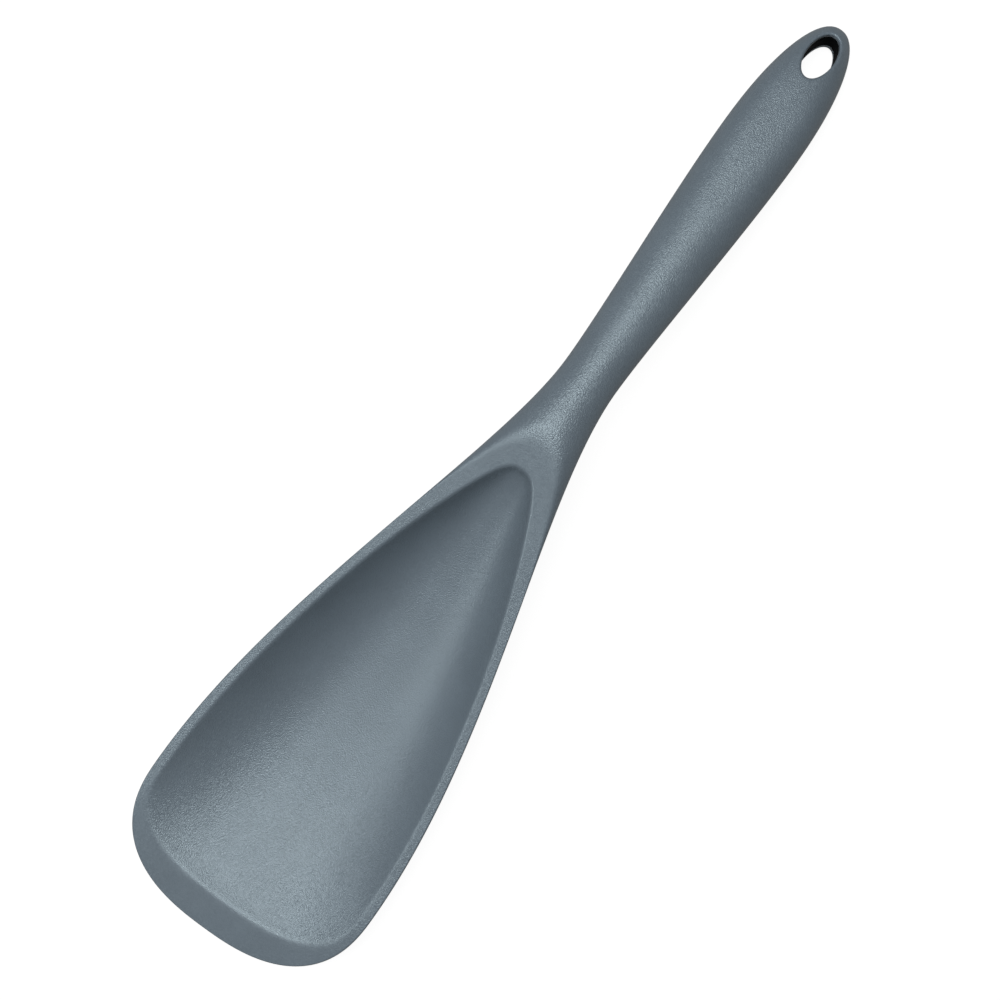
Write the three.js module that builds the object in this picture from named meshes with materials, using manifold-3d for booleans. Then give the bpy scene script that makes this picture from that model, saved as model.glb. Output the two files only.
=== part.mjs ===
// Silicone stirring spoon: a soft silicone body moulded over a nylon core,
// and the core moulded round a steel rod that stiffens the handle and neck.
// Millimetres, +Z up. The spoon lies on a table at z = 0, handle towards +X.

import * as THREE from 'three';
import Module from 'manifold-3d';

const wasm = await Module();
wasm.setup();

// Plan outline, from the front edge to the tip of the handle
const FRONT_LENGTH = 29;
const TAPER_LENGTH = 148;
const GRIP_LENGTH = 76;
const END_LENGTH = 37.6;
const SCOOP_WIDTH = 70.2;
const NECK_WIDTH = 15.4;
const GRIP_WIDTH = 21.9;

// How far each level stretch of the outline carries before it curves away
const SHOULDER_REACH = 56;
const NECK_REACH = 33;
const WAIST_REACH = 16;
const SWELL_REACH = 22;

// Squareness of the rounded ends: 2 is an ellipse, and more is squarer
const FRONT_SQUARENESS = 2.5;
const END_SQUARENESS = 2.2;
const CAVITY_SQUARENESS = 2.8;
const SECTION_POWER = 2;
const END_SECTION_POWER = 4;

// Handle thickness
const NECK_THICKNESS = 13.2;
const GRIP_THICKNESS = 15.8;

// Scoop: a rim that rises to the neck and dips to the front, with a shallow bowl behind a lip
const RIM_FRONT_TILT = THREE.MathUtils.degToRad(0.5);
const RIM_NECK_TILT = THREE.MathUtils.degToRad(14.5);
const RIM_DIP = 4;
const RIM_DIP_LENGTH = 32;
const RIM_WIDTH = 2.7;
const EDGE_DROP = 0.8;
const LIP_LENGTH = 9.5;
const CAVITY_DEPTH = 13;
const CAVITY_TO_NECK = 30;
const CAVITY_END_LENGTH = 57;
const CAVITY_FRONT_POWER = 0.65;
const CAVITY_FRONT_EASE = 1.5;
const CAVITY_END_POWER = 0.55;
const CAVITY_SIDE_POWER = 3;
const FLOOR_THICKNESS = 4.4;
const BASE_FLAT_DEPTH = 0.4;
const BOWL_POWER = 0.64;

// Neck: where the rim runs out on top of the round handle
const RIDGE_TO_NECK = 18.5;
const NECK_BLEND = 9;
const HANDLE_POWER = 0.5;

// Hang hole through the end of the handle
const HOLE_LENGTH = 15;
const HOLE_WIDTH = 7.8;
const HOLE_TO_TIP = 11.5;
const HOLE_FILLET = 1;

// Nylon core inside the silicone
const FIT_GAP = 0.3;
const FLOOR_SKIN = 1.2;
const HANDLE_SKIN = 2.2;
const CORE_WALL = 1.6;
const BLADE_INSET = 9;
const BLADE_TO_FRONT = 30;
const BLADE_END_LENGTH = 25;
const BLADE_REACH = 30;
const BLADE_NECK_REACH = 45;
const CORE_EDGE_POWER = 4;
const WINDOW_DIAMETER = 8;
const WINDOW_COUNT = 3;
const WINDOW_PITCH = 22;
const WINDOW_TO_BLADE_END = 28;

// Steel rod inside the core, and the holes that the moulding pins leave under it
const ROD_DIAMETER = NECK_THICKNESS - 2 * (HANDLE_SKIN + CORE_WALL + FIT_GAP);
const ROD_TO_RIDGE = 2;
const ROD_TO_HOLE = 8;
const PIN_HOLE_DIAMETER = 4;
const PIN_HOLE_COUNT = 3;

// Mesh fineness
const BODY_RING_STEPS = 14;
const CAVITY_RING_STEPS = 14;
const CORE_RING_STEPS = 10;
const CAP_STEPS = 10;
const TAPER_STEPS = 20;
const GRIP_STEPS = 8;
const ROUND_SIDES = 24;
const HOLE_SIDES = 32;
const FILLET_STEPS = 3;
const SEARCH_STEPS = 400;

// Stations along the spoon, measured from the front edge
const AT_WIDEST = FRONT_LENGTH;
const AT_NECK = AT_WIDEST + TAPER_LENGTH;
const AT_GRIP = AT_NECK + GRIP_LENGTH;
const AT_TIP = AT_GRIP + END_LENGTH;
const AT_CAVITY_END = AT_NECK - CAVITY_TO_NECK;
const AT_RIDGE = AT_NECK - RIDGE_TO_NECK;
const AT_HOLE = AT_TIP - HOLE_TO_TIP;
const AT_BLADE = BLADE_TO_FRONT + BLADE_END_LENGTH;
const MIDDLE = AT_TIP / 2;

// Half-width of a rounded end, as a share of its full half-width
function cap(share, squareness) {
  return Math.pow(Math.max(0, 1 - Math.pow(Math.min(1, share), squareness)), 1 / squareness);
}

// Smooth lower envelope of two heights
function softMin(first, second, blend) {
  const mix = THREE.MathUtils.clamp(0.5 + (second - first) / (2 * blend), 0, 1);
  return THREE.MathUtils.lerp(second, first, mix) - blend * mix * (1 - mix);
}

// Curve that leaves one level and arrives at another, level at both ends
function swell(at, start, end) {
  const curve = new THREE.CubicBezierCurve(
    new THREE.Vector2(start.at, start.size),
    new THREE.Vector2(start.at + start.reach, start.size),
    new THREE.Vector2(end.at - end.reach, end.size),
    new THREE.Vector2(end.at, end.size),
  );
  let low = 0;
  let high = 1;
  while (high - low > 1e-7) {
    const half = (low + high) / 2;
    if (curve.getPoint(half).x < at) {
      low = half;
    } else {
      high = half;
    }
  }
  return curve.getPoint(low).y;
}

// Outline of the handle from neck to grip, for a width or a thickness
function handleSwell(at, neckSize, gripSize) {
  const start = { at: AT_NECK, size: neckSize, reach: WAIST_REACH };
  const end = { at: AT_GRIP, size: gripSize, reach: SWELL_REACH };
  return swell(THREE.MathUtils.clamp(at, AT_NECK, AT_GRIP), start, end);
}

// Half-width of the outline between its two rounded ends
function sideWidth(at) {
  if (at >= AT_NECK) {
    return handleSwell(at, NECK_WIDTH / 2, GRIP_WIDTH / 2);
  }
  const start = { at: AT_WIDEST, size: SCOOP_WIDTH / 2, reach: SHOULDER_REACH };
  const end = { at: AT_NECK, size: NECK_WIDTH / 2, reach: NECK_REACH };
  return swell(Math.max(at, AT_WIDEST), start, end);
}

// How far a station lies into the front or the end cap, as a share of the cap
function capShare(at) {
  if (at < AT_WIDEST) {
    return { share: (AT_WIDEST - at) / FRONT_LENGTH, squareness: FRONT_SQUARENESS };
  }
  return { share: Math.max(0, at - AT_GRIP) / END_LENGTH, squareness: END_SQUARENESS };
}

function halfWidth(at) {
  const { share, squareness } = capShare(at);
  return sideWidth(at) * cap(share, squareness);
}

// Fullness of the body: 1 on the centre line and 0 on the outline, all the way round.
// The section grows squarer towards the tip, which leaves flat land round the hang hole.
function fullness(at, y) {
  const { share, squareness } = capShare(at);
  const across = Math.abs(y) / sideWidth(at);
  const edge = Math.pow(Math.pow(share, squareness) + Math.pow(across, squareness), 1 / squareness);
  const endShare = THREE.MathUtils.smoothstep(at, AT_GRIP - END_LENGTH, AT_TIP);
  const power = THREE.MathUtils.lerp(SECTION_POWER, END_SECTION_POWER, endShare);
  return Math.max(0, 1 - Math.pow(edge, power));
}

// Bowl: outline, depth along the middle, and depth anywhere
const CAVITY_EASE = CAVITY_FRONT_EASE / (AT_CAVITY_END - LIP_LENGTH);

function depthCurve(share) {
  const start = Math.pow(CAVITY_EASE, CAVITY_FRONT_POWER);
  const front = Math.pow(share + CAVITY_EASE, CAVITY_FRONT_POWER) - start;
  return front * Math.pow(1 - share, CAVITY_END_POWER);
}

function cavityWidth(at) {
  const front = Math.max(0, AT_WIDEST - at) / (AT_WIDEST - LIP_LENGTH);
  const end = Math.max(0, at - AT_CAVITY_END + CAVITY_END_LENGTH) / CAVITY_END_LENGTH;
  return (sideWidth(at) - RIM_WIDTH) * cap(front, CAVITY_SQUARENESS) * cap(end, CAVITY_SQUARENESS);
}

function middleDepth(at) {
  const share = THREE.MathUtils.clamp((at - LIP_LENGTH) / (AT_CAVITY_END - LIP_LENGTH), 0, 1);
  return (CAVITY_DEPTH * depthCurve(share)) / CAVITY_CREST;
}

function cavityDepth(at, y) {
  const width = cavityWidth(at);
  if (Math.abs(y) >= width) {
    return 0;
  }
  return middleDepth(at) * (1 - Math.pow(Math.abs(y) / width, CAVITY_SIDE_POWER));
}

// Lowest value of a height along a stretch of the spoon
function lowest(from, to, height) {
  let found = Infinity;
  for (let i = 0; i <= SEARCH_STEPS; i += 1) {
    found = Math.min(found, height(THREE.MathUtils.lerp(from, to, i / SEARCH_STEPS)));
  }
  return found;
}

const CAVITY_CREST = -lowest(0, 1, (share) => -depthCurve(share));

// Rim line: its slope grows evenly up to the ridge, and its front dips to the lip
function rimRise(at) {
  const curved = Math.min(at, AT_RIDGE);
  const neckSlope = Math.tan(RIM_NECK_TILT);
  const slope = THREE.MathUtils.lerp(Math.tan(RIM_FRONT_TILT), neckSlope, curved / (2 * AT_RIDGE));
  const dip = RIM_DIP * Math.pow(Math.max(0, 1 - at / RIM_DIP_LENGTH), 2);
  return slope * curved + neckSlope * (at - curved) - dip;
}

// The rim is raised until the bowl's underside rests on the table
const FLOOR_DROP = lowest(LIP_LENGTH, AT_CAVITY_END, (at) => rimRise(at) - middleDepth(at));
const RIM_LIFT = FLOOR_THICKNESS - BASE_FLAT_DEPTH - FLOOR_DROP;

function rimHeight(at) {
  return RIM_LIFT + rimRise(at);
}

// Handle axis, from the ridge at the neck down to a heel that rests on the table
const HANDLE_START = rimHeight(AT_RIDGE) - NECK_THICKNESS / 2;

function handleHalf(at) {
  return handleSwell(at, NECK_THICKNESS / 2, GRIP_THICKNESS / 2);
}

function heelSlope(at) {
  const heel = handleHalf(at) * Math.pow(fullness(at, 0), HANDLE_POWER);
  return (HANDLE_START - heel) / (at - AT_RIDGE);
}

const HANDLE_SLOPE = lowest(AT_GRIP, AT_TIP, heelSlope);
const HANDLE_TILT = Math.atan(HANDLE_SLOPE);

function handleAxis(at) {
  return HANDLE_START - HANDLE_SLOPE * (at - AT_RIDGE);
}

// Widest line of the body, then the surfaces above and below it
function sideLine(at) {
  return softMin(handleAxis(at), rimHeight(at) - EDGE_DROP, NECK_BLEND);
}

function crown(at, y) {
  return sideLine(at) + handleHalf(at) * Math.pow(fullness(at, y), HANDLE_POWER);
}

function topSurface(at, y) {
  return Math.min(crown(at, y), rimHeight(at)) - cavityDepth(at, y);
}

function keel(at) {
  const bowl = rimHeight(at) - middleDepth(at) - FLOOR_THICKNESS;
  return softMin(bowl, handleAxis(at) - handleHalf(at), NECK_BLEND);
}

function hull(at, y) {
  const neckShare = THREE.MathUtils.smoothstep(at, AT_CAVITY_END - CAVITY_TO_NECK, AT_NECK);
  const power = THREE.MathUtils.lerp(BOWL_POWER, HANDLE_POWER, neckShare);
  const side = sideLine(at);
  return side - (side - keel(at)) * Math.pow(fullness(at, y), power);
}

function underside(at, y) {
  return Math.max(0, hull(at, y));
}

// Stations spaced by angle round a cap, so that its curve is even
function capStations(from, length, squareness, steps) {
  const stations = [];
  for (let i = 1; i < steps; i += 1) {
    const turn = Math.cos((i / steps) * (Math.PI / 2));
    stations.push(from + length * Math.pow(turn, 2 / squareness));
  }
  return stations;
}

function evenStations(from, to, steps) {
  const stations = [];
  for (let i = 0; i <= steps; i += 1) {
    stations.push(THREE.MathUtils.lerp(from, to, i / steps));
  }
  return stations;
}

// Closed ring at a station: over the top from one side, then back underneath
function ring(at, width, top, bottom, steps) {
  const points = [];
  for (let i = 0; i < 2 * steps; i += 1) {
    const y = width * Math.cos((i / steps) * Math.PI);
    const z = i < steps ? top(at, y) : bottom(at, y);
    points.push(new THREE.Vector3(at - MIDDLE, y, z));
  }
  return points;
}

// Solid skinned over rings, where a ring of one point closes an end
function loft(rings) {
  const starts = [];
  let count = 0;
  for (const points of rings) {
    starts.push(count);
    count += points.length;
  }
  const triangles = [];
  for (let i = 0; i + 1 < rings.length; i += 1) {
    const near = rings[i].length;
    const far = rings[i + 1].length;
    for (let j = 0; j < Math.max(near, far); j += 1) {
      const here = starts[i] + (j % near);
      const beside = starts[i] + ((j + 1) % near);
      const ahead = starts[i + 1] + (j % far);
      const across = starts[i + 1] + ((j + 1) % far);
      if (near > 1) {
        triangles.push(here, beside, across);
      }
      if (far > 1) {
        triangles.push(here, across, ahead);
      }
    }
  }
  const vertices = rings.flat().flatMap((point) => [point.x, point.y, point.z]);
  return solid(vertices, triangles);
}

function solid(vertices, triangles) {
  const mesh = new wasm.Mesh({
    numProp: 3,
    vertProperties: new Float32Array(vertices),
    triVerts: new Uint32Array(triangles),
  });
  return new wasm.Manifold(mesh);
}

// Point of the spoon's middle plane, in the handle's own frame
function onHandle(at) {
  return new THREE.Matrix4()
    .makeTranslation(at - MIDDLE, 0, handleAxis(at))
    .multiply(new THREE.Matrix4().makeRotationY(HANDLE_TILT));
}

function place(rings, matrix) {
  return rings.map((points) => points.map((point) => point.clone().applyMatrix4(matrix)));
}

// Upright oval ring, whose height may follow a surface
function oval(length, width, height, sides) {
  const points = [];
  for (let i = 0; i < sides; i += 1) {
    const angle = (i / sides) * 2 * Math.PI;
    const x = (length / 2) * Math.cos(angle);
    const y = (width / 2) * Math.sin(angle);
    points.push(new THREE.Vector3(x, y, height(x, y)));
  }
  return points;
}

// Solid through upright rings listed from the bottom up, placed by a matrix
function column(rings, matrix) {
  const middleOf = (points) => {
    const sum = points.reduce((total, point) => total.add(point), new THREE.Vector3());
    return sum.divideScalar(points.length);
  };
  const closed = [[middleOf(rings[0])], ...rings, [middleOf(rings[rings.length - 1])]];
  return loft(place(closed, matrix));
}

function peg(diameter, from, to, matrix) {
  const rings = [from, to].map((height) => oval(diameter, diameter, () => height, ROUND_SIDES));
  return column(rings, matrix);
}

// Whole body before the rim, the bowl and the base flat are cut
function makeBlank() {
  const front = capStations(AT_WIDEST, -FRONT_LENGTH, FRONT_SQUARENESS, CAP_STEPS);
  const taper = evenStations(AT_WIDEST, AT_NECK, TAPER_STEPS);
  const grip = evenStations(AT_NECK, AT_GRIP, GRIP_STEPS).slice(1);
  const end = capStations(AT_GRIP, END_LENGTH, END_SQUARENESS, CAP_STEPS).reverse();
  const stations = [...front, ...taper, ...grip, ...end];
  const rings = stations.map((at) => ring(at, halfWidth(at), crown, hull, BODY_RING_STEPS));
  const frontPoint = new THREE.Vector3(-MIDDLE, 0, sideLine(0));
  const tipPoint = new THREE.Vector3(AT_TIP - MIDDLE, 0, sideLine(AT_TIP));
  return loft([[frontPoint], ...rings, [tipPoint]]);
}

// Block over the scoop between two heights, from ahead of the front edge to the neck
const CUT_CLEARANCE = GRIP_THICKNESS + CAVITY_DEPTH;

function makeBlock(low, high) {
  const rings = [-CUT_CLEARANCE, ...evenStations(0, AT_NECK, TAPER_STEPS)].map((at) => {
    const corners = [[1, low(at)], [1, high(at)], [-1, high(at)], [-1, low(at)]];
    return corners.map(([side, z]) => new THREE.Vector3(at - MIDDLE, side * SCOOP_WIDTH, z));
  });
  const ends = [rings[0], rings[rings.length - 1]].map(([first, , third]) => {
    return [first.clone().lerp(third, 0.5)];
  });
  return loft([ends[0], ...rings, ends[1]]);
}

// Everything above the rim, and everything below the table
function makeRimCut() {
  return makeBlock(rimHeight, (at) => rimHeight(at) + CUT_CLEARANCE);
}

function makeTableCut() {
  return makeBlock(() => -CUT_CLEARANCE, () => 0);
}

// The bowl, open above the rim
function makeCavity() {
  const frontLength = AT_WIDEST - LIP_LENGTH;
  const endStart = AT_CAVITY_END - CAVITY_END_LENGTH;
  const front = capStations(AT_WIDEST, -frontLength, CAVITY_SQUARENESS, CAP_STEPS);
  const middle = evenStations(AT_WIDEST, endStart, CAP_STEPS);
  const end = capStations(endStart, CAVITY_END_LENGTH, CAVITY_SQUARENESS, CAP_STEPS).reverse();
  const roof = (at) => rimHeight(at) + FLOOR_THICKNESS;
  const floor = (at, y) => rimHeight(at) - cavityDepth(at, y);
  const stations = [...front, ...middle, ...end];
  const rings = stations.map((at) => ring(at, cavityWidth(at), roof, floor, CAVITY_RING_STEPS));
  const frontPoint = new THREE.Vector3(LIP_LENGTH - MIDDLE, 0, rimHeight(LIP_LENGTH));
  const endPoint = new THREE.Vector3(AT_CAVITY_END - MIDDLE, 0, rimHeight(AT_CAVITY_END));
  return loft([[frontPoint], ...rings, [endPoint]]);
}

// Hang hole, whose rounded mouth follows the handle's surface on both faces
function makeHangHole() {
  const face = (x, y) => handleHalf(AT_HOLE + x) * Math.pow(fullness(AT_HOLE + x, y), HANDLE_POWER);
  const mouth = (side, angle, rise) => {
    const grow = 2 * HOLE_FILLET * (1 - Math.cos(angle));
    const sink = HOLE_FILLET * (1 - Math.sin(angle)) - rise;
    const height = (x, y) => side * (face(x, y) - sink);
    return oval(HOLE_LENGTH + grow, HOLE_WIDTH + grow, height, HOLE_SIDES);
  };
  const above = [mouth(1, Math.PI / 2, HOLE_WIDTH)];
  const below = [mouth(-1, Math.PI / 2, HOLE_WIDTH)];
  for (let i = FILLET_STEPS; i >= 0; i -= 1) {
    const angle = (i / FILLET_STEPS) * (Math.PI / 2);
    above.push(mouth(1, angle, 0));
    below.push(mouth(-1, angle, 0));
  }
  return column([...below, ...above.reverse()], onHandle(AT_HOLE));
}

// Core outline, grown by a gap for the pocket that holds it
const BLADE_HALF = cavityWidth(AT_BLADE) - BLADE_INSET;

function coreWidth(at, gap) {
  if (at < AT_BLADE) {
    return (BLADE_HALF + gap) * cap((AT_BLADE - at) / (BLADE_END_LENGTH + gap), FRONT_SQUARENESS);
  }
  if (at < AT_NECK) {
    const start = { at: AT_BLADE, size: BLADE_HALF, reach: BLADE_REACH };
    const end = { at: AT_NECK, size: NECK_WIDTH / 2 - HANDLE_SKIN, reach: BLADE_NECK_REACH };
    return swell(at, start, end) + gap;
  }
  const endShare = Math.max(0, at - AT_GRIP) / (END_LENGTH - HANDLE_SKIN + gap);
  return (sideWidth(at) - HANDLE_SKIN + gap) * cap(endShare, END_SQUARENESS);
}

function skin(at) {
  const share = THREE.MathUtils.smoothstep(at, AT_CAVITY_END - CAVITY_TO_NECK, AT_RIDGE);
  return THREE.MathUtils.lerp(FLOOR_SKIN, HANDLE_SKIN, share);
}

// Blade, neck and spine: the middle of the body, thinned by the silicone skin
function makeCoreForm(gap) {
  const half = (at, y) => {
    const room = (topSurface(at, y) - underside(at, y)) / 2 - skin(at) + gap;
    const across = Math.min(1, Math.abs(y) / coreWidth(at, gap));
    return room * Math.sqrt(1 - Math.pow(across, CORE_EDGE_POWER));
  };
  const middle = (at, y) => (topSurface(at, y) + underside(at, y)) / 2;
  const top = (at, y) => middle(at, y) + half(at, y);
  const bottom = (at, y) => middle(at, y) - half(at, y);
  const frontLength = BLADE_END_LENGTH + gap;
  const endLength = END_LENGTH - HANDLE_SKIN + gap;
  const front = capStations(AT_BLADE, -frontLength, FRONT_SQUARENESS, CAP_STEPS);
  const blade = evenStations(AT_BLADE, AT_NECK, TAPER_STEPS);
  const grip = evenStations(AT_NECK, AT_GRIP, GRIP_STEPS).slice(1);
  const end = capStations(AT_GRIP, endLength, END_SQUARENESS, CAP_STEPS).reverse();
  const stations = [...front, ...blade, ...grip, ...end];
  const rings = stations.map((at) => ring(at, coreWidth(at, gap), top, bottom, CORE_RING_STEPS));
  const tips = [AT_BLADE - frontLength, AT_GRIP + endLength].map((at) => {
    return [new THREE.Vector3(at - MIDDLE, 0, middle(at, 0))];
  });
  return loft([tips[0], ...rings, tips[1]]);
}

// Windows through the blade, or the silicone posts that key through them
function bladePegs(diameter) {
  const pegs = [];
  for (let i = 0; i < WINDOW_COUNT; i += 1) {
    const at = BLADE_TO_FRONT + WINDOW_TO_BLADE_END + i * WINDOW_PITCH;
    const matrix = new THREE.Matrix4().makeTranslation(at - MIDDLE, 0, keel(at));
    pegs.push(peg(diameter, -FLOOR_THICKNESS, 2 * FLOOR_THICKNESS, matrix));
  }
  return pegs;
}

// Rod and its bore, and the pin holes under it or the silicone nubs that fill them
const AT_ROD_START = AT_RIDGE - ROD_TO_RIDGE;
const AT_ROD_END = AT_HOLE - HOLE_LENGTH / 2 - ROD_TO_HOLE;

function makeRod(grow) {
  const length = (AT_ROD_END - AT_ROD_START) / Math.cos(HANDLE_TILT) + 2 * grow;
  const alongHandle = new THREE.Matrix4().makeRotationY(Math.PI / 2);
  const matrix = onHandle((AT_ROD_START + AT_ROD_END) / 2).multiply(alongHandle);
  return peg(ROD_DIAMETER + 2 * grow, -length / 2, length / 2, matrix);
}

function rodPegs(diameter, top) {
  const pegs = [];
  for (let i = 0; i < PIN_HOLE_COUNT; i += 1) {
    const share = (i + 0.5) / PIN_HOLE_COUNT;
    const at = THREE.MathUtils.lerp(AT_ROD_START, AT_ROD_END, share);
    pegs.push(peg(diameter, -handleHalf(at), top, onHandle(at)));
  }
  return pegs;
}

function cutAll(body, tools) {
  return tools.reduce((rest, tool) => rest.subtract(tool), body);
}

function makeSilicone(hangHole) {
  const posts = bladePegs(WINDOW_DIAMETER - 2 * FIT_GAP);
  const nubs = rodPegs(PIN_HOLE_DIAMETER - 2 * FIT_GAP, -ROD_DIAMETER / 2 - FIT_GAP);
  const pocket = cutAll(makeCoreForm(FIT_GAP), [...posts, ...nubs]);
  return cutAll(makeBlank(), [makeRimCut(), makeTableCut(), makeCavity(), hangHole, pocket]);
}

function makeCore(hangHole) {
  const pinHoles = rodPegs(PIN_HOLE_DIAMETER, 0);
  const tools = [...bladePegs(WINDOW_DIAMETER), makeRod(FIT_GAP), ...pinHoles, hangHole];
  return cutAll(makeCoreForm(0), tools);
}

function toMesh(name, body, look) {
  const { vertProperties, triVerts } = body.getMesh();
  const geometry = new THREE.BufferGeometry();
  geometry.setAttribute('position', new THREE.BufferAttribute(vertProperties, 3));
  geometry.setIndex(new THREE.BufferAttribute(triVerts, 1));
  geometry.computeVertexNormals();
  const mesh = new THREE.Mesh(geometry, new THREE.MeshStandardMaterial(look));
  mesh.name = name;
  return mesh;
}

const SILICONE_LOOK = { color: 0x707c85, roughness: 0.7, metalness: 0 };
const NYLON_LOOK = { color: 0x15181b, roughness: 0.6, metalness: 0 };
const STEEL_LOOK = { color: 0xb4b6b8, roughness: 0.35, metalness: 1 };

const hangHole = makeHangHole();
const spoon = new THREE.Group();
spoon.add(toMesh('silicone_body', makeSilicone(hangHole), SILICONE_LOOK));
spoon.add(toMesh('nylon_core', makeCore(hangHole), NYLON_LOOK));
spoon.add(toMesh('steel_rod', makeRod(0), STEEL_LOOK));

export default spoon;
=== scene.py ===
"""Silicone stirring spoon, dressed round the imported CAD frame."""

import math

import bpy
import numpy as np
from mathutils import Matrix, Vector


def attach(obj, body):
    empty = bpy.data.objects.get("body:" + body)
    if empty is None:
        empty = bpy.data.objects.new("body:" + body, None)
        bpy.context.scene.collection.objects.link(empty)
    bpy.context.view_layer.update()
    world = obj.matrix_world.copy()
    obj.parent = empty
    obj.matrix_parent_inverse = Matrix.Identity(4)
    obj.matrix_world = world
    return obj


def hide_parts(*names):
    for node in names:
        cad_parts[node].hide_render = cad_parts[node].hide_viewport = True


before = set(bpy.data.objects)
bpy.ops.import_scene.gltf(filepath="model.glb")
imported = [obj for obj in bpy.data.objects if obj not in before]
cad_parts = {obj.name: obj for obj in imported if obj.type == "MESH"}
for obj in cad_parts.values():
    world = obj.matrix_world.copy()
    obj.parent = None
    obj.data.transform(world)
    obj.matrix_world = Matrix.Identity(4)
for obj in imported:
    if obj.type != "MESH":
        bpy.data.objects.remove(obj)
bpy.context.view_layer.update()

MM = 0.001

# Sizes of the spoon in millimetres, as in the CAD source
FRONT_LENGTH = 29.0
TAPER_LENGTH = 148.0
GRIP_LENGTH = 76.0
END_LENGTH = 37.6
SCOOP_WIDTH = 70.2
NECK_WIDTH = 15.4
GRIP_WIDTH = 21.9
SHOULDER_REACH = 56.0
NECK_REACH = 33.0
WAIST_REACH = 16.0
SWELL_REACH = 22.0
FRONT_SQUARENESS = 2.5
END_SQUARENESS = 2.2
CAVITY_SQUARENESS = 2.8
SECTION_POWER = 2.0
END_SECTION_POWER = 4.0
NECK_THICKNESS = 13.2
GRIP_THICKNESS = 15.8
RIM_FRONT_SLOPE = math.tan(math.radians(0.5))
RIM_NECK_SLOPE = math.tan(math.radians(14.5))
RIM_DIP = 4.0
RIM_DIP_LENGTH = 32.0
RIM_WIDTH = 2.7
EDGE_DROP = 0.8
LIP_LENGTH = 9.5
CAVITY_DEPTH = 13.0
CAVITY_TO_NECK = 30.0
CAVITY_END_LENGTH = 57.0
CAVITY_FRONT_POWER = 0.65
CAVITY_FRONT_EASE = 1.5
CAVITY_END_POWER = 0.55
CAVITY_SIDE_POWER = 3.0
FLOOR_THICKNESS = 4.4
BASE_FLAT_DEPTH = 0.4
BOWL_POWER = 0.64
RIDGE_TO_NECK = 18.5
NECK_BLEND = 9.0
HANDLE_POWER = 0.5
HOLE_LENGTH = 15.0
HOLE_WIDTH = 7.8
HOLE_TO_TIP = 11.5
HOLE_FILLET = 1.0
FIT_GAP = 0.3
HANDLE_SKIN = 2.2

# Small roundings that only the visual surface has
RIM_ROUNDING = 0.34
LIP_ROUNDING = 0.9
EDGE_ROUNDING = 0.2
RIDGE_ROUNDING = 1.2
ROUNDING_REACH = 2.0
ROUNDING_STEPS = 7

# How far the skin turns out behind the wall of the core's hole, past the fit gap
BORE_LAP = 0.1

# Where the blasted grain fades
FLAT_NEARNESS = (0.08, 0.5)
FLAT_SMOOTHNESS = 0.7
SPARKLE_FADE = (45.0, 75.0)
BACK_SMOOTHNESS = 0.6
RIDGE_FADE = 5.0

# The rings across the spoon end this far before the hang hole's middle, and loops round the hole begin
CUT_TO_HOLE = 17.1

# Places along the spoon, counted from the tip of the lip
AT_WIDEST = FRONT_LENGTH
AT_NECK = AT_WIDEST + TAPER_LENGTH
AT_GRIP = AT_NECK + GRIP_LENGTH
AT_TIP = AT_GRIP + END_LENGTH
AT_CAVITY_END = AT_NECK - CAVITY_TO_NECK
AT_RIDGE = AT_NECK - RIDGE_TO_NECK
AT_HOLE = AT_TIP - HOLE_TO_TIP
AT_CUT = AT_HOLE - CUT_TO_HOLE
MIDDLE = AT_TIP / 2

# How finely the curves are sampled and the surface is divided
CURVE_STEPS = np.linspace(0.0, 1.0, 4001)
SEARCH_STEPS = 401
EDGE_STEPS = 20
INNER_STEPS = 80
EDGE_BAND = 3.4
EDGE_SHARE = 0.4
FRONT_STEPS = 60
OUTLINE_STEPS = 60
LAND_STEPS = 24
FILLET_STEPS = 8
SETTLING_ROUNDS = 12
SHARP_ANGLE = math.radians(50.0)
TINY = 1e-6

# Rings along the spoon: those of the rounded front, then stretches with their ends and the steps in them
TIP_RUN = 3.5
TIP_STEP = 0.3
STRETCHES = ((42.0, 0.35), (128.0, 0.7), (164.0, 0.4), (AT_CUT, 0.9))


# Curves
def cap(share, squareness):
    share = np.clip(share, 0.0, 1.0)
    return np.maximum(0.0, 1.0 - share ** squareness) ** (1.0 / squareness)


def soft_min(first, second, blend):
    mix = np.clip(0.5 + (second - first) / (2.0 * blend), 0.0, 1.0)
    return second + (first - second) * mix - blend * mix * (1.0 - mix)


def smoothstep(value, low, high):
    share = np.clip((value - low) / (high - low), 0.0, 1.0)
    return share * share * (3.0 - 2.0 * share)


def swell(at, start, end):
    """Level-ended curve from (at, size, reach) to (at, size, reach)."""
    t = CURVE_STEPS
    run = (
        (1 - t) ** 3 * start[0]
        + 3 * (1 - t) ** 2 * t * (start[0] + start[2])
        + 3 * (1 - t) * t ** 2 * (end[0] - end[2])
        + t ** 3 * end[0]
    )
    size = start[1] + (end[1] - start[1]) * (3 * t ** 2 - 2 * t ** 3)
    return np.interp(at, run, size)


# Outline from above
def handle_swell(at, neck_size, grip_size):
    start = (AT_NECK, neck_size, WAIST_REACH)
    end = (AT_GRIP, grip_size, SWELL_REACH)
    return swell(np.clip(at, AT_NECK, AT_GRIP), start, end)


def side_width(at):
    start = (AT_WIDEST, SCOOP_WIDTH / 2, SHOULDER_REACH)
    end = (AT_NECK, NECK_WIDTH / 2, NECK_REACH)
    scoop = swell(np.clip(at, AT_WIDEST, AT_NECK), start, end)
    return np.where(at >= AT_NECK, handle_swell(at, NECK_WIDTH / 2, GRIP_WIDTH / 2), scoop)


def cap_share(at):
    front = at < AT_WIDEST
    front_share = (AT_WIDEST - at) / FRONT_LENGTH
    end_share = np.maximum(0.0, at - AT_GRIP) / END_LENGTH
    return np.where(front, front_share, end_share), np.where(front, FRONT_SQUARENESS, END_SQUARENESS)


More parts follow.
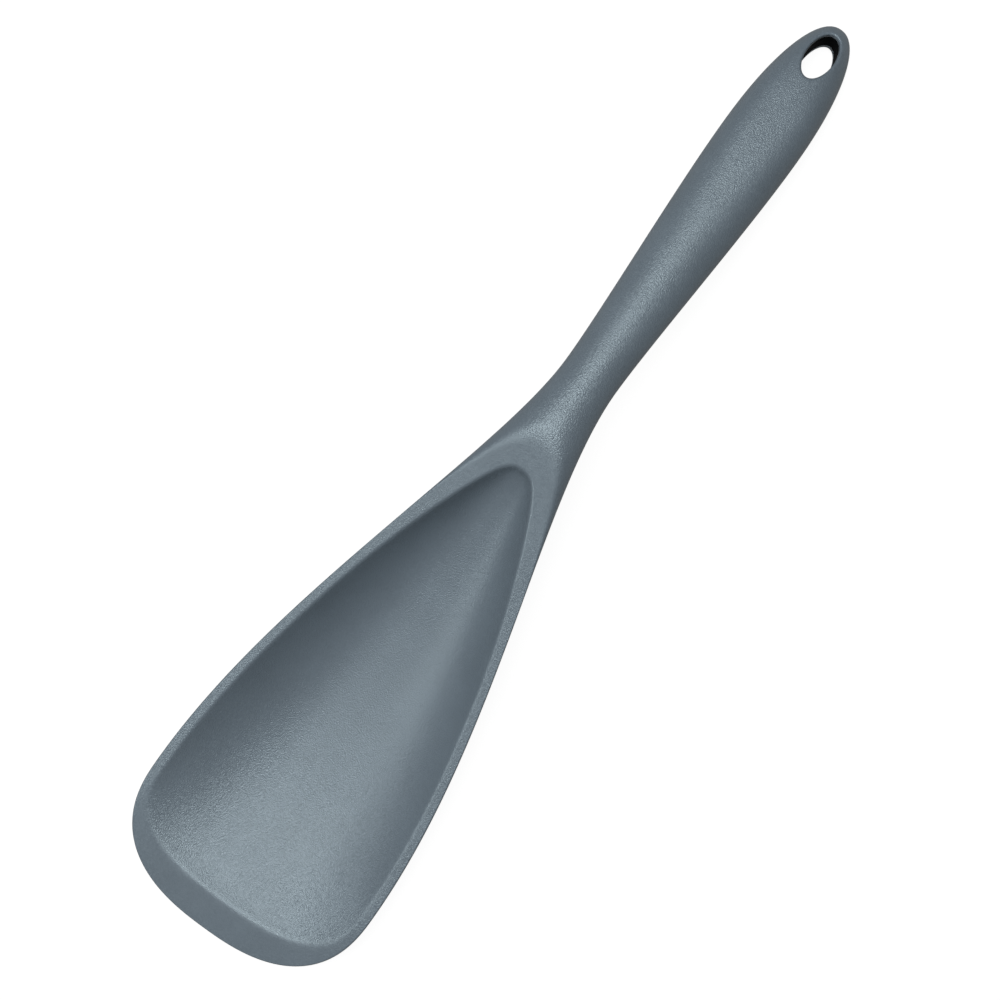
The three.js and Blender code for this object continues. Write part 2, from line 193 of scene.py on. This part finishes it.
def half_width(at):
    share, squareness = cap_share(at)
    return side_width(at) * cap(share, squareness)


def fullness(at, y):
    """0 on the outline, rising to 1 along the middle."""
    share, squareness = cap_share(at)
    across = np.abs(y) / side_width(at)
    edge = (np.clip(share, 0, 1) ** squareness + across ** squareness) ** (1.0 / squareness)
    end_share = smoothstep(at, AT_GRIP - END_LENGTH, AT_TIP)
    power = SECTION_POWER + (END_SECTION_POWER - SECTION_POWER) * end_share
    return np.maximum(0.0, 1.0 - np.minimum(1.0, edge) ** power)


# Bowl
CAVITY_EASE = CAVITY_FRONT_EASE / (AT_CAVITY_END - LIP_LENGTH)


def cavity_width(at):
    front = np.maximum(0.0, AT_WIDEST - at) / (AT_WIDEST - LIP_LENGTH)
    end = np.maximum(0.0, at - AT_CAVITY_END + CAVITY_END_LENGTH) / CAVITY_END_LENGTH
    return (side_width(at) - RIM_WIDTH) * cap(front, CAVITY_SQUARENESS) * cap(end, CAVITY_SQUARENESS)


def depth_curve(share):
    front = (share + CAVITY_EASE) ** CAVITY_FRONT_POWER - CAVITY_EASE ** CAVITY_FRONT_POWER
    return front * (1.0 - share) ** CAVITY_END_POWER


DEEPEST = np.max(depth_curve(np.linspace(0.0, 1.0, SEARCH_STEPS)))


def middle_depth(at):
    share = np.clip((at - LIP_LENGTH) / (AT_CAVITY_END - LIP_LENGTH), 0.0, 1.0)
    return CAVITY_DEPTH * depth_curve(share) / DEEPEST


def cavity_depth(at, y):
    width = np.maximum(cavity_width(at), TINY)
    across = np.minimum(1.0, np.abs(y) / width)
    return middle_depth(at) * (1.0 - across ** CAVITY_SIDE_POWER)


# Heights: the rim first, so that the underside just meets the table
def rim_rise(at):
    curved = np.minimum(at, AT_RIDGE)
    slope = RIM_FRONT_SLOPE + (RIM_NECK_SLOPE - RIM_FRONT_SLOPE) * curved / (2.0 * AT_RIDGE)
    dip = RIM_DIP * np.maximum(0.0, 1.0 - at / RIM_DIP_LENGTH) ** 2
    return slope * curved + RIM_NECK_SLOPE * (at - curved) - dip


bowl_stations = np.linspace(LIP_LENGTH, AT_CAVITY_END, SEARCH_STEPS)
LOWEST_FLOOR = np.min(rim_rise(bowl_stations) - middle_depth(bowl_stations))
RIM_LIFT = FLOOR_THICKNESS - BASE_FLAT_DEPTH - LOWEST_FLOOR


def rim_height(at):
    return RIM_LIFT + rim_rise(at)


def handle_half(at):
    return handle_swell(at, NECK_THICKNESS / 2, GRIP_THICKNESS / 2)


# The handle slopes down until the heel of its end meets the table
HANDLE_START = rim_height(AT_RIDGE) - NECK_THICKNESS / 2
heel_stations = np.linspace(AT_GRIP, AT_TIP, SEARCH_STEPS)
heel_halves = handle_half(heel_stations) * fullness(heel_stations, 0.0) ** HANDLE_POWER
HANDLE_SLOPE = np.min((HANDLE_START - heel_halves) / (heel_stations - AT_RIDGE))
HANDLE_TILT = math.atan(HANDLE_SLOPE)
TILT_COSINE = math.cos(HANDLE_TILT)
TILT_SINE = math.sin(HANDLE_TILT)


def handle_axis(at):
    return HANDLE_START - HANDLE_SLOPE * (at - AT_RIDGE)


def side_line(at):
    return soft_min(handle_axis(at), rim_height(at) - EDGE_DROP, NECK_BLEND)


def crown(at, y):
    return side_line(at) + handle_half(at) * fullness(at, y) ** HANDLE_POWER


def rounded_rim(at, y):
    """Rim less the bowl, with its edges eased over a small disc."""
    offsets = np.linspace(-ROUNDING_REACH, ROUNDING_REACH, ROUNDING_STEPS)
    weights = np.exp(-0.5 * offsets ** 2)
    weights /= weights.sum()
    lip_share = 1.0 - smoothstep(at, LIP_LENGTH, AT_WIDEST)
    radius = RIM_ROUNDING + (LIP_ROUNDING - RIM_ROUNDING) * lip_share
    total = np.zeros(np.broadcast(at, y).shape)
    for shift_at, weight_at in zip(offsets, weights):
        for shift_y, weight_y in zip(offsets, weights):
            total += weight_at * weight_y * cavity_depth(at + shift_at * radius, y + shift_y * radius)
    return rim_height(at) - total


def neck_share(at, end):
    return smoothstep(at, AT_CAVITY_END - CAVITY_TO_NECK, end)


def top_surface(at, y):
    rounding = EDGE_ROUNDING + (RIDGE_ROUNDING - EDGE_ROUNDING) * neck_share(at, AT_CAVITY_END)
    return soft_min(crown(at, y), rounded_rim(at, y), rounding)


def underside(at, y):
    bowl = rim_height(at) - middle_depth(at) - FLOOR_THICKNESS
    keel = soft_min(bowl, handle_axis(at) - handle_half(at), NECK_BLEND)
    power = BOWL_POWER + (HANDLE_POWER - BOWL_POWER) * neck_share(at, AT_NECK)
    side = side_line(at)
    return np.maximum(0.0, side - (side - keel) * fullness(at, y) ** power)


# Surface: rings from the lip to the cut, close together at the rim, then loops round the hang hole
def stations():
    turn = np.linspace(0.0, math.pi / 2, FRONT_STEPS + 1)[1:]
    front = AT_WIDEST - FRONT_LENGTH * np.cos(turn) ** (2.0 / FRONT_SQUARENESS)
    runs = [front[front < TIP_RUN]]
    low = runs[0][-1] + TIP_STEP
    for high, step in STRETCHES:
        runs.append(np.linspace(low, high, int(round((high - low) / step)), endpoint=False))
        low = high
    return np.concatenate(runs + [[AT_CUT]])


def points_across(width):
    band = np.minimum(EDGE_BAND, EDGE_SHARE * width)[:, None]
    turn = np.linspace(0.0, math.pi / 2, EDGE_STEPS + 1)[None, :]
    edge = width[:, None] - band * (1.0 - np.cos(turn))
    inner = (width[:, None] - band) * np.linspace(1.0, -1.0, INNER_STEPS + 1)[None, 1:-1]
    return np.concatenate([edge, inner, -edge[:, ::-1]], axis=1)


def body_rings(at):
    """Closed rings of points, and how many points of each lie on top."""
    y = points_across(half_width(at))
    at_grid = np.repeat(at[:, None], y.shape[1], axis=1)
    top = np.stack([at_grid, y, top_surface(at_grid, y)], axis=2)
    top[:, (0, -1), 2] = side_line(at)[:, None]
    low = np.stack([at_grid, y, underside(at_grid, y)], axis=2)[:, -2:0:-1]
    return np.concatenate([top, low], axis=1), y.shape[1]


def end_outline():
    """Outline of the handle's end, from one side of the cut round the tip to the other."""
    widest = math.acos(((AT_CUT - AT_GRIP) / END_LENGTH) ** (END_SQUARENESS / 2))
    turn = np.linspace(-widest, widest, 2 * OUTLINE_STEPS + 1)[1:-1]
    at = AT_GRIP + END_LENGTH * np.cos(turn) ** (2.0 / END_SQUARENESS)
    y = np.sign(turn) * GRIP_WIDTH / 2 * np.abs(np.sin(turn)) ** (2.0 / END_SQUARENESS)
    return np.stack([at, y, side_line(at)], axis=1)


def hole_ring(spread, turn, face, sink, sign):
    """Points round the hang hole, sunk below a face, in the tilted handle's own directions."""
    along = (HOLE_LENGTH / 2 + spread) * np.cos(turn)
    y = (HOLE_WIDTH / 2 + spread) * np.sin(turn)
    height = sign * handle_half(AT_HOLE) * np.ones_like(turn)
    for _ in range(SETTLING_ROUNDS):
        at = AT_HOLE + along * TILT_COSINE + height * TILT_SINE
        z = face(at, y) - sign * sink / TILT_COSINE
        height = (z - handle_axis(AT_HOLE) + along * TILT_SINE) / TILT_COSINE
    return along, y, height


def hole_points(along, y, height):
    at = AT_HOLE + along * TILT_COSINE + height * TILT_SINE
    z = handle_axis(AT_HOLE) - along * TILT_SINE + height * TILT_COSINE
    return np.stack([at, y, z], axis=1)


def land_loops(edge, turn, face, sign):
    """From the edge of the handle's end in to the mouth of the hole."""
    mouth = hole_points(*hole_ring(HOLE_FILLET, turn, face, 0.0, sign))
    loops = []
    for share in np.sin(np.linspace(math.pi / 2, 0.0, LAND_STEPS + 1)[1:]):
        at, y = (mouth + (edge - mouth) * share)[:, :2].T
        loops.append(np.stack([at, y, face(at, y)], axis=1))
    return loops


def mouth_loops(turn, face, sign):
    """Down the rounded mouth of the hole."""
    loops = []
    for step in range(FILLET_STEPS - 1, -1, -1):
        angle = step / FILLET_STEPS * math.pi / 2
        spread = HOLE_FILLET * (1.0 - math.cos(angle))
        sink = HOLE_FILLET * (1.0 - math.sin(angle))
        loops.append(hole_points(*hole_ring(spread, turn, face, sink, sign)))
    return loops


def bore_loops(turn, face, sign):
    """Down the bore to the core, and out behind the wall of the core's hole."""
    along, y, height = hole_ring(0.0, turn, face, HANDLE_SKIN - FIT_GAP, sign)
    loops = []
    for spread in (0.0, FIT_GAP + BORE_LAP):
        scale_along = (HOLE_LENGTH / 2 + spread) / (HOLE_LENGTH / 2)
        scale_y = (HOLE_WIDTH / 2 + spread) / (HOLE_WIDTH / 2)
        loops.append(hole_points(along * scale_along, y * scale_y, height))
    return loops


def hole_loops(edge, face, sign):
    reach = HOLE_LENGTH / 2 + HOLE_FILLET
    width = HOLE_WIDTH / 2 + HOLE_FILLET
    turn = np.arctan2(edge[:, 1] / width, (edge[:, 0] - AT_HOLE) / reach)
    return land_loops(edge, turn, face, sign) + mouth_loops(turn, face, sign) + bore_loops(turn, face, sign)


def quads_between(near, far):
    return np.stack([near, np.roll(near, -1), np.roll(far, -1), far], axis=1)


def spoon_mesh():
    """Points, four-sided faces, and the three-sided ones that close the lip on one point."""
    rings, steps = body_rings(stations())
    outline = end_outline()
    edge = np.concatenate([rings[-1, :steps], outline])
    loops = hole_loops(edge, crown, 1.0) + hole_loops(edge, underside, -1.0)[::-1]
    tip = np.array([[0.0, 0.0, float(side_line(np.float64(0.0)))]])
    points = np.concatenate([rings.reshape(-1, 3), tip, outline, *loops])

    ring_index = np.arange(rings.shape[0] * rings.shape[1]).reshape(rings.shape[:2])
    tip_index = ring_index.size
    outline_index = tip_index + 1 + np.arange(len(outline))
    loop_index = outline_index[-1] + 1 + np.arange(len(loops) * len(edge)).reshape(len(loops), -1)
    cut = ring_index[-1]
    upper = np.concatenate([cut[:steps], outline_index])
    lower = np.concatenate([cut[:1], cut[:steps - 1:-1], cut[steps - 1:steps], outline_index])
    faces = []
    for run in (ring_index, [upper, *loop_index, lower]):
        faces += [quads_between(near, far) for near, far in zip(run[:-1], run[1:])]
    fan = [(tip_index, int(b), int(a)) for a, b in zip(ring_index[0], np.roll(ring_index[0], -1))]
    return points, np.concatenate(faces), fan


def before_ridge(at):
    return 1.0 - smoothstep(at, AT_RIDGE - RIDGE_FADE, AT_RIDGE)


def grain_amount(points):
    """Depth of the blasted grain: 1, and less on the smooth lip and the flat of the neck."""
    at, z = points[:, 0], points[:, 2]
    flat = 1.0 - smoothstep(np.abs(rim_height(at) - z), *FLAT_NEARNESS)
    lip = 1.0 - smoothstep(at, LIP_LENGTH, AT_WIDEST)
    neck = neck_share(at, AT_CAVITY_END) * before_ridge(at)
    return 1.0 - FLAT_SMOOTHNESS * flat * np.maximum(lip, neck)


def sparkle_amount(points):
    """Strength of the grain's sparkle: as the grain, and less at the back of the bowl."""
    at = points[:, 0]
    back = smoothstep(at, *SPARKLE_FADE) * before_ridge(at)
    return grain_amount(points) * (1.0 - BACK_SMOOTHNESS * back)


def make_silicone():
    points, quads, fan = spoon_mesh()
    metres = (points - np.array([MIDDLE, 0.0, 0.0])) * MM
    mesh = bpy.data.meshes.new("silicone_skin")
    mesh.from_pydata(metres.tolist(), [], quads.tolist() + fan)
    mesh.validate()
    mesh.update()
    mesh.shade_smooth()
    mesh.set_sharp_from_angle(angle=SHARP_ANGLE)
    for name, amount in (("grain", grain_amount), ("sparkle", sparkle_amount)):
        values = mesh.attributes.new(name, "FLOAT", "POINT")
        values.data.foreach_set("value", amount(points).astype(np.float32))
    skin = bpy.data.objects.new("silicone_skin", mesh)
    bpy.context.scene.collection.objects.link(skin)
    return skin


# Material helpers, with sizes and depths in millimetres
def new_material(name):
    material = bpy.data.materials.new(name)
    material.use_nodes = True
    tree = material.node_tree
    place = tree.nodes.new("ShaderNodeTexCoord").outputs["Object"]
    return material, tree, tree.nodes["Principled BSDF"], place


def add(tree, kind, **inputs):
    node = tree.nodes.new(kind)
    for name, value in inputs.items():
        node.inputs[name].default_value = value
    return node


def ramp(tree, factor, stops):
    node = tree.nodes.new("ShaderNodeValToRGB")
    for element, (position, colour) in zip(node.color_ramp.elements, stops):
        element.position = position
        element.color = (*colour, 1.0)
    tree.links.new(factor, node.inputs["Fac"])
    return node.outputs["Color"]


def span(tree, value, low, high):
    node = tree.nodes.new("ShaderNodeMapRange")
    node.inputs["To Min"].default_value = low
    node.inputs["To Max"].default_value = high
    tree.links.new(value, node.inputs["Value"])
    return node.outputs["Result"]


def attribute(tree, name):
    node = tree.nodes.new("ShaderNodeAttribute")
    node.attribute_name = name
    return node.outputs["Fac"]


def noise(tree, place, feature_mm, detail):
    node = add(tree, "ShaderNodeTexNoise", Scale=1.0 / (feature_mm * MM), Detail=detail)
    tree.links.new(place, node.inputs["Vector"])
    return node.outputs["Fac"]


def roughen(tree, shader, height, depth_mm, strength=1.0):
    node = add(tree, "ShaderNodeBump", Distance=depth_mm * MM, Strength=strength)
    tree.links.new(height, node.inputs["Height"])
    tree.links.new(node.outputs["Normal"], shader.inputs["Normal"])
    return node


# Silicone: a blue-grey with a faint cloudiness, a blasted grain and beads of unlike gloss
SILICONE_COLOUR = (0.120, 0.150, 0.178)
SILICONE_GLOSS_TINT = (0.80, 0.95, 1.0, 1.0)
SILICONE_IOR = 1.7
CLOUD_SIZE = 14.0
CLOUD_DETAIL = 3.0
CLOUD_TONES = ((0.3, 0.95), (0.7, 1.05))
GRAIN_SIZE = 0.34
GRAIN_DEPTH = 0.12
GRAIN_DETAIL = 1.0
BEAD_SIZE = 0.45
BEAD_ROUGHNESS = (0.30, 0.50)
GLOSS_MEAN = 0.58
GLOSS_REACH = 0.26


def silicone_material():
    material, tree, shader, place = new_material("silicone_grain")
    stops = [(low, [channel * gain for channel in SILICONE_COLOUR]) for low, gain in CLOUD_TONES]
    cloud = noise(tree, place, CLOUD_SIZE, CLOUD_DETAIL)
    tree.links.new(ramp(tree, cloud, stops), shader.inputs["Base Color"])
    beads = add(tree, "ShaderNodeTexVoronoi", Scale=1.0 / (BEAD_SIZE * MM))
    tree.links.new(place, beads.inputs["Vector"])
    bead = beads.outputs["Color"]
    tree.links.new(span(tree, bead, *BEAD_ROUGHNESS), shader.inputs["Roughness"])
    sparkle = attribute(tree, "sparkle")
    gloss = span(tree, bead, GLOSS_MEAN, GLOSS_MEAN)
    for end, reach in (("To Min", -GLOSS_REACH), ("To Max", GLOSS_REACH)):
        tree.links.new(span(tree, sparkle, GLOSS_MEAN, GLOSS_MEAN + reach), gloss.node.inputs[end])
    tree.links.new(gloss, shader.inputs["Specular IOR Level"])
    bump = roughen(tree, shader, noise(tree, place, GRAIN_SIZE, GRAIN_DETAIL), GRAIN_DEPTH)
    tree.links.new(attribute(tree, "grain"), bump.inputs["Strength"])
    shader.inputs["IOR"].default_value = SILICONE_IOR
    shader.inputs["Specular Tint"].default_value = SILICONE_GLOSS_TINT
    return material


# Nylon: near black and dull, with a fine moulded surface; the black is darker than the nylon's own, as
# painted shade inside the hang hole's bore
NYLON_BLACK_AND_BORE_SHADE = ((0.3, (0.002, 0.003, 0.004)), (0.7, (0.004, 0.005, 0.006)))
NYLON_CLOUD_SIZE = 5.0
NYLON_CLOUD_DETAIL = 4.0
NYLON_GRAIN_SIZE = 0.5
NYLON_GRAIN_DETAIL = 2.0
NYLON_GRAIN_DEPTH = 0.08
NYLON_GRAIN_STRENGTH = 0.3
NYLON_ROUGHNESS = (0.7, 0.9)
NYLON_IOR = 1.45
NYLON_GLOSS = 0.05


def nylon_and_bore_shade_material():
    material, tree, shader, place = new_material("nylon_and_bore_shade")
    cloud = noise(tree, place, NYLON_CLOUD_SIZE, NYLON_CLOUD_DETAIL)
    # Painted shade: these near-black tones stand for the shade in the hang hole's bore as well as for the
    # nylon's colour
    tree.links.new(ramp(tree, cloud, NYLON_BLACK_AND_BORE_SHADE), shader.inputs["Base Color"])
    fine = noise(tree, place, NYLON_GRAIN_SIZE, NYLON_GRAIN_DETAIL)
    tree.links.new(span(tree, fine, *NYLON_ROUGHNESS), shader.inputs["Roughness"])
    roughen(tree, shader, fine, NYLON_GRAIN_DEPTH, NYLON_GRAIN_STRENGTH)
    shader.inputs["IOR"].default_value = NYLON_IOR
    shader.inputs["Specular IOR Level"].default_value = NYLON_GLOSS
    return material


# Steel: drawn lines along the rod
STEEL_TONES = ((0.25, (0.42, 0.43, 0.44)), (0.75, (0.55, 0.56, 0.57)))
STEEL_STRETCH = (0.05, 1.0, 1.0)
STEEL_LINE_SIZE = 0.35
STEEL_LINE_DETAIL = 4.0
STEEL_LINE_DEPTH = 0.05
STEEL_LINE_STRENGTH = 0.2
STEEL_ROUGHNESS = (0.25, 0.42)


def steel_material():
    material, tree, shader, place = new_material("steel_drawn")
    stretch = add(tree, "ShaderNodeMapping", Scale=STEEL_STRETCH)
    tree.links.new(place, stretch.inputs["Vector"])
    lines = noise(tree, stretch.outputs["Vector"], STEEL_LINE_SIZE, STEEL_LINE_DETAIL)
    tree.links.new(ramp(tree, lines, STEEL_TONES), shader.inputs["Base Color"])
    tree.links.new(span(tree, lines, *STEEL_ROUGHNESS), shader.inputs["Roughness"])
    roughen(tree, shader, lines, STEEL_LINE_DEPTH, STEEL_LINE_STRENGTH)
    shader.inputs["Metallic"].default_value = 1.0
    return material


skin = make_silicone()
skin.data.materials.append(silicone_material())
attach(skin, "root")
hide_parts("silicone_body")

for node, material in (("nylon_core", nylon_and_bore_shade_material()), ("steel_rod", steel_material())):
    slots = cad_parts[node].data.materials
    slots.clear()
    slots.append(material)

# Studio floor, in metres: white to the camera, with the spoon's soft shadow left on it
GROUND_HALF = 3.0
GROUND_LEVEL = -0.0002
GROUND_GLOW = 0.93
GROUND_GLOSS_GLOW = 0.3
GROUND_COLOUR = (0.12, 0.12, 0.12, 1.0)


def glow_for(tree, base, glow, rays):
    """The base shader, with a glow added for rays of the named kinds."""
    both = tree.nodes.new("ShaderNodeAddShader")
    tree.links.new(base, both.inputs[0])
    tree.links.new(add(tree, "ShaderNodeEmission", Strength=glow).outputs["Emission"], both.inputs[1])
    path = tree.nodes.new("ShaderNodeLightPath")
    surface = base
    for name in rays:
        choice = tree.nodes.new("ShaderNodeMixShader")
        tree.links.new(path.outputs[name], choice.inputs["Fac"])
        tree.links.new(surface, choice.inputs[1])
        tree.links.new(both.outputs["Shader"], choice.inputs[2])
        surface = choice.outputs["Shader"]
    return surface


def floor_material():
    material = bpy.data.materials.new("floor_white")
    material.use_nodes = True
    tree = material.node_tree
    tree.nodes.clear()
    matte = add(tree, "ShaderNodeBsdfDiffuse", Color=GROUND_COLOUR).outputs["BSDF"]
    surface = glow_for(tree, matte, GROUND_GLOSS_GLOW, ("Is Glossy Ray",))
    surface = glow_for(tree, surface, GROUND_GLOW, ("Is Camera Ray", "Is Transmission Ray"))
    output = tree.nodes.new("ShaderNodeOutputMaterial")
    tree.links.new(surface, output.inputs["Surface"])
    return material


def make_floor():
    signs = ((-1, -1), (1, -1), (1, 1), (-1, 1))
    corners = [(x * GROUND_HALF, y * GROUND_HALF, GROUND_LEVEL) for x, y in signs]
    mesh = bpy.data.meshes.new("floor")
    mesh.from_pydata(corners, [], [(0, 1, 2, 3)])
    mesh.materials.append(floor_material())
    floor = bpy.data.objects.new("floor", mesh)
    bpy.context.scene.collection.objects.link(floor)


# World: white to the camera, and a low even light for the rest
WHITE = (1.0, 1.0, 1.0, 1.0)
AMBIENT = 0.12


def make_world():
    world = bpy.data.worlds.new("studio")
    bpy.context.scene.world = world
    world.use_nodes = True
    tree = world.node_tree
    tree.nodes.clear()
    seen = add(tree, "ShaderNodeBackground", Color=WHITE, Strength=1.0)
    even = add(tree, "ShaderNodeBackground", Color=WHITE, Strength=AMBIENT)
    choice = tree.nodes.new("ShaderNodeMixShader")
    path = tree.nodes.new("ShaderNodeLightPath")
    tree.links.new(path.outputs["Is Camera Ray"], choice.inputs["Fac"])
    tree.links.new(even.outputs["Background"], choice.inputs[1])
    tree.links.new(seen.outputs["Background"], choice.inputs[2])
    output = tree.nodes.new("ShaderNodeOutputWorld")
    tree.links.new(choice.outputs["Shader"], output.inputs["Surface"])


# Soft lamps, all at one distance: lean towards +X and +Y in degrees, size in metres, power in watts
CENTRE = Vector((0.0, 0.0, 0.012))
LAMP_DISTANCE = 1.2
LAMPS = (
    ("over", (6.9, 12.1), 0.6, 6.8),
    ("corner", (-31.7, 31.7), 0.5, 3.6),
    ("end", (14.0, 0.0), 0.5, 2.9),
    ("top", (0.0, 0.0), 0.5, 1.8),
)


def make_lamp(name, lean, size, power):
    x, y = (math.sin(math.radians(angle)) for angle in lean)
    aim = Vector((x, y, math.sqrt(1.0 - x * x - y * y)))
    lamp = bpy.data.lights.new(name, "AREA")
    lamp.shape = "DISK"
    lamp.size = size
    lamp.energy = power
    holder = bpy.data.objects.new(name, lamp)
    holder.location = CENTRE + aim * LAMP_DISTANCE
    holder.rotation_euler = aim.to_track_quat("Z", "Y").to_euler()
    bpy.context.scene.collection.objects.link(holder)


# Camera: the photograph's view, nearly straight down, with the handle pointing up and right.
# Its distance is in millimetres and its offset in pixels of the photograph.
VIEW_HEADING = math.radians(54.57)
VIEW_ROLL = math.radians(-2.80)
VIEW_PITCH = math.radians(-0.76)
VIEW_DISTANCE = 500.0
PIXELS_PER_MM = 3.8293
VIEW_OFFSET = (20.8, -21.5)
FRAME_PIXELS = 1000.0
SENSOR = 36.0
NEAREST = 0.01


def make_camera():
    heading = Matrix.Rotation(VIEW_HEADING, 3, "Z")
    turned = heading @ Matrix.Rotation(VIEW_ROLL, 3, "X") @ Matrix.Rotation(VIEW_PITCH, 3, "Y")
    back = turned.transposed()
    right, down = (pixels / PIXELS_PER_MM for pixels in VIEW_OFFSET)
    offset = Vector((-right, down, VIEW_DISTANCE))
    data = bpy.data.cameras.new("camera")
    data.sensor_width = SENSOR
    data.lens = SENSOR * PIXELS_PER_MM * VIEW_DISTANCE / FRAME_PIXELS
    data.clip_start = NEAREST
    camera = bpy.data.objects.new("camera", data)
    camera.matrix_world = Matrix.Translation(CENTRE + back @ offset * MM) @ back.to_4x4()
    bpy.context.scene.collection.objects.link(camera)
    bpy.context.scene.camera = camera


make_floor()
make_world()
for lamp in LAMPS:
    make_lamp(*lamp)
make_camera()
bpy.context.scene.view_settings.view_transform = "Standard"
